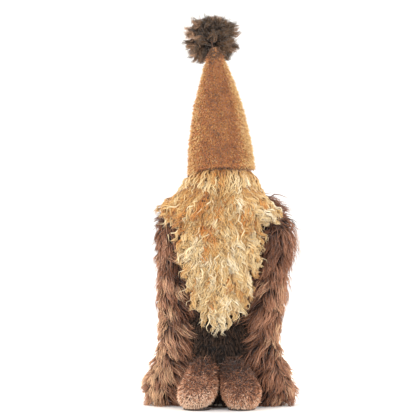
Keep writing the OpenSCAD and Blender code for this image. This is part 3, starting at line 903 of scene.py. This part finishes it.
def mohair(name, roots, outward, seed, comb, length, lift=0.45, edge=0.0, shade=0.0):
    """Crimped mohair locks that grow from the roots, with single paler curls among them: more of those
    where edge is high, and none where it is NO_STRAYS. shade is added to the locks' tone."""
    rng = np.random.default_rng(seed)
    lines = grow(roots, outward, seed, length=length, comb=comb, lift=lift, points=10, fall=0.3, wild=0.12)
    lines, own = tuft(lines, seed + 1, every=12, pull=0.85)
    lines = curl(lines, seed + 2, own, CURL_SIZE, CURL_WAVE, ease=1.0)
    ginger = np.exp(-((roots[:, 2] - seam.z + GINGER_DROP) / GINGER_HALF) ** 2)
    ginger = ginger * np.exp(-(roots[:, 0] / GINGER_ACROSS) ** 2)
    tone = tones(roots, seed + 3, patch=15 * MM, by_place=0.4, by_lock=0.18, own=own)
    tone = tone - GINGER_DARKER * ginger + MOHAIR_PALER + shade
    chosen = rng.random(len(roots)) < STRAY_SHARE * (1 + STRAY_AT_EDGE * edge)
    stray = chosen & (outward[:, 2] < 0.3)
    comb = np.broadcast_to(comb, roots.shape)[stray]
    curls = grow(roots[stray], outward[stray], seed + 5, length=STRAY_LONGER * length, comb=comb,
                 lift=lift + 0.15, points=10, fall=0.2, wild=0.2)
    curls = curl(curls, seed + 6, np.arange(len(curls)), 1.2 * CURL_SIZE, 1.3 * CURL_WAVE, ease=1.0)
    width = np.concatenate((np.full(len(lines), MOHAIR_WIDTH), np.full(len(curls), STRAY_WIDTH)))
    tone = np.concatenate((tone, np.full(len(curls), STRAY_TONE)))
    made = locks(name, np.concatenate((lines, curls)), width, tone, seed + 4, slim=0.9)
    made.data.materials.append(mohair_pile)
    return made


def mohair_cloth(name, node, narrow, short, taper=0.0):
    """The padded cloth under one panel of mohair. It ends inside the panel, because the locks hang on
    beyond it, and it thins towards the seam."""
    made = skin_from(name, [f"{node}_pile", f"{node}_backing"], voxel=3.5 * MM, inset=3.5 * MM, smooth=3)
    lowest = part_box(f"{node}_pile")[0].z
    for point in made.data.vertices:
        down = (seam.z - point.co.z) / (seam.z - lowest)
        point.co.x *= narrow - taper * max(0.0, down) ** 3
        point.co.z = seam.z + (point.co.z - seam.z) * short
        near_seam = min(1.0, max(0.0, 1 - (seam.z - point.co.z) / THIN_FROM))
        point.co.y = seam.y + (point.co.y - seam.y) * (1 - THINNED * near_seam ** 2)
    made.data.update()
    made.data.materials.append(mohair_backing)
    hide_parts(f"{node}_backing")
    return made


# %% Beard
BEARD_LOCK = 27 * MM
COMB_SPAN = 110 * MM
beard_skin = mohair_cloth("beard_skin", "beard", narrow=0.97, short=0.855, taper=0.3)
half_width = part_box("beard_pile")[1].x
roots, outward = scatter(beard_skin, gap=1.68 * MM, seed=71)
shown = outward[:, 1] < 0.45
roots, outward = roots[shown], outward[shown]
high_share = np.clip((roots[:, 2:3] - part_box("beard_pile")[0].z) / COMB_SPAN, 0, 1)
comb = unit(DOWN + np.array((0.45, 0, 0)) * roots[:, :1] / half_width * high_share)
beard_locks = mohair("beard_locks", roots, outward, 72, comb, BEARD_LOCK, edge=np.abs(outward[:, 0]))
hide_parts("beard_pile")
hang_from_seam(beard_skin)
hang_from_seam(beard_locks)

# %% Moustache
WING_LOCK = 25 * MM
WING_SHADE = {"left": -0.16, "right": -0.06}
WING_DROP = 8 * MM
for number, side in enumerate(SIDES):
    skin = mohair_cloth(f"{side}_moustache_skin", f"{side}_moustache", narrow=0.85, short=0.85)
    roots, outward = scatter(skin, gap=1.6 * MM, seed=81 + number)
    shown = roots[:, 2] < seam.z - WING_DROP
    roots, outward = roots[shown], outward[shown]
    comb = unit(DOWN + np.array((0.7, 0, 0)) * roots[:, :1] / half_width)
    edge = np.clip(2 * np.abs(roots[:, 0]) / half_width - 1.5, 0, 1)
    wing = mohair(f"{side}_moustache_locks", roots, outward, 83 + 10 * number, comb, WING_LOCK, lift=0.3,
                  edge=edge, shade=WING_SHADE[side])
    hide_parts(f"{side}_moustache_pile")
    hang_from_seam(skin)
    hang_from_seam(wing)

# %% [markdown]
# The top of the mohair is a band round the front of the head, tucked under the hem. It doesn't move.
# Its cloth is one short edge, spun half way round the head's axis and given a thickness. Its locks part
# near the middle and are darker there.

# %% Top band of the beard
BAND_ARC = math.radians(184)
BAND_LOCK = 36 * MM
PARTING_HALF = 13 * MM
PARTING_DARKER = 0.35
BAND_SHADE = -0.05
BAND_STEPS = 40
BAND_HALF_HEIGHT = 12 * MM
BAND_LEAN = 2 * MM
BAND_THICK = 1.5 * MM
BAND_OVER_HEM = 4 * MM
BAND_FRONT = (0.35, 1, 1)
band_radius = brim_radius - 4 * MM
bm = bmesh.new()
lower = bm.verts.new((band_radius, 0, hem - BAND_HALF_HEIGHT))
upper = bm.verts.new((band_radius - BAND_LEAN, 0, hem + BAND_HALF_HEIGHT))
rib = bm.edges.new((lower, upper))
bmesh.ops.spin(bm, geom=[lower, upper, rib], cent=(0, 0, 0), axis=(0, 0, -1), angle=BAND_ARC,
               steps=BAND_STEPS, use_merge=False)
bmesh.ops.rotate(bm, verts=bm.verts, cent=(0, 0, 0),
                 matrix=Matrix.Rotation(0.5 * (BAND_ARC - math.pi), 3, "Z"))
bmesh.ops.translate(bm, verts=bm.verts, vec=(HAT_SHIFT, 0, 0))
bmesh.ops.subdivide_edges(bm, edges=bm.edges, cuts=2, use_grid_fill=True)
bmesh.ops.recalc_face_normals(bm, faces=bm.faces)
band_mesh = bpy.data.meshes.new("beard_band")
bm.to_mesh(band_mesh)
bm.free()
band = bpy.data.objects.new("beard_band", band_mesh)
bpy.context.collection.objects.link(band)
radial = np.array([(v.co.x, v.co.y, 0) for v in band.data.vertices])
if (read(band.data.vertices, "normal", 3) * radial).sum() < 0:
    band.data.flip_normals()
roots, outward = scatter(band, gap=1.6 * MM, seed=101)
under = roots[:, 2] < hem + hem_rise(roots[:, 0], roots[:, 1]) + BAND_OVER_HEM
roots, outward = roots[under], outward[under]
solid = band.modifiers.new("cloth", "SOLIDIFY")
solid.thickness = BAND_THICK
apply_modifiers(band)
spread_out = np.interp(roots[:, :1] / half_width, [-1, 0, 1], [-0.55, 0, 0.1])
comb = unit(DOWN + np.array((1.0, 0, 0)) * spread_out)
parting = np.exp(-((roots[:, 0] - HAT_SHIFT) / PARTING_HALF) ** 2)
band_locks = mohair("beard_band_locks", roots, outward * BAND_FRONT, 102, comb, BAND_LOCK, lift=0.6,
                    edge=NO_STRAYS, shade=BAND_SHADE - PARTING_DARKER * parting)
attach(band_locks, "body")
finish_piece(band, mohair_backing, "body")

# %% [markdown]
# ## Felt under the body and the feet
# The underside is closed with a disc of felt, and each foot has a felt sole. They are made like the
# skins, at a finer voxel, and the disc has a shallow groove where it is sewn to the plush.

# %% Felt pieces
FELT_VOXEL = 1.1 * MM
SEAM_FROM_EDGE = 3.5 * MM
SEAM_WIDTH = 1.2 * MM
SEAM_DEPTH = 0.6 * MM
felt = backing_material("pressed wool felt, dark brown", "#241811", "#4a3427", 5 * MM)


def felt_piece(name, node, body):
    """A piece of pressed felt made from one CAD node."""
    made = skin_from(name, [node], FELT_VOXEL, inset=0.15 * MM, smooth=1)
    finish_piece(made, felt, body, [node])
    return made


base = felt_piece("base_felt", "base_panel", "body")
base_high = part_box("base_panel")[1]
for point in base.data.vertices:
    from_seam = abs(math.hypot(point.co.x, point.co.y) - (base_high.x - SEAM_FROM_EDGE))
    if from_seam < SEAM_WIDTH and point.co.z < 0.5 * base_high.z:
        point.co.z += SEAM_DEPTH * (1 - from_seam / SEAM_WIDTH)
for side in SIDES:
    felt_piece(f"{side}_sole", f"{side}_foot_sole", f"{side}_foot")

# %% [markdown]
# ## Thread, tape, board and pellets
# What holds the figure together is hidden, but it is real, so its CAD solids stay and get their own
# finishes. Thread is twisted and tape and calico are woven, so their colour and bump run in fine bands.
# Board is pressed from paper, and the pouch holds small round pellets.

# %% Hidden finishes
def inner_material(name, dark, light, size, roughness, texture="ShaderNodeTexNoise", output="Fac"):
    """A finish whose colour and bump come from one texture, at a real size."""
    made = bpy.data.materials.new(name)
    made.use_nodes = True
    tree = made.node_tree
    shader = tree.nodes["Principled BSDF"]
    place = add(tree, "ShaderNodeTexCoord").outputs["Object"]
    pattern = add(tree, texture, {"Vector": place, "Scale": 1 / size}).outputs[output]
    tree.links.new(ramp(tree, pattern, [(0.1, dark), (0.8, light)]), shader.inputs["Base Color"])
    bump = add(tree, "ShaderNodeBump", {"Height": pattern, "Strength": 0.5, "Distance": 0.2 * size})
    tree.links.new(bump.outputs["Normal"], shader.inputs["Normal"])
    shader.inputs["Roughness"].default_value = roughness
    return made


WAVE_SHARE = 0.16  # one dark or pale band of a wave texture, half its period, in units of its scale
thread = inner_material("twisted polyester thread, brown", "#2a1c14", "#6b4b36", 0.8 * MM / WAVE_SHARE,
                        0.55, "ShaderNodeTexWave")
tape = inner_material("woven cotton tape, brown", "#3a281d", "#5d4231", 1.0 * MM / WAVE_SHARE, 0.8,
                      "ShaderNodeTexWave")
calico = inner_material("unbleached cotton calico", "#cbbd9f", "#ece2cb", 0.9 * MM / WAVE_SHARE, 0.85,
                        "ShaderNodeTexWave")
greyboard = inner_material("pressed greyboard", "#7d7468", "#a29a8c", 2 * MM, 0.9)
pellets = inner_material("polyethylene pellets", "#8d918f", "#f0f2f0", 3.5 * MM, 0.45,
                         "ShaderNodeTexVoronoi", "Distance")
button_plastic = inner_material("moulded polyester button, brown", "#2b1c12", "#3c281b", 6 * MM, 0.35)
for material, names in (
        (thread, ["beard_stitches", "pompom_tie", *(f"{side}_foot_stitches" for side in SIDES),
                  *(f"{side}_shoulder_knot" for side in SIDES)]),
        (tape, [f"{side}_shoulder_tab" for side in SIDES]), (calico, ["pellet_pouch"]),
        (greyboard, ["base_board"]), (pellets, ["pellet_fill"]), (button_plastic, ["tie_button"])):
    for name in names:
        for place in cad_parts[name].material_slots:
            place.material = material
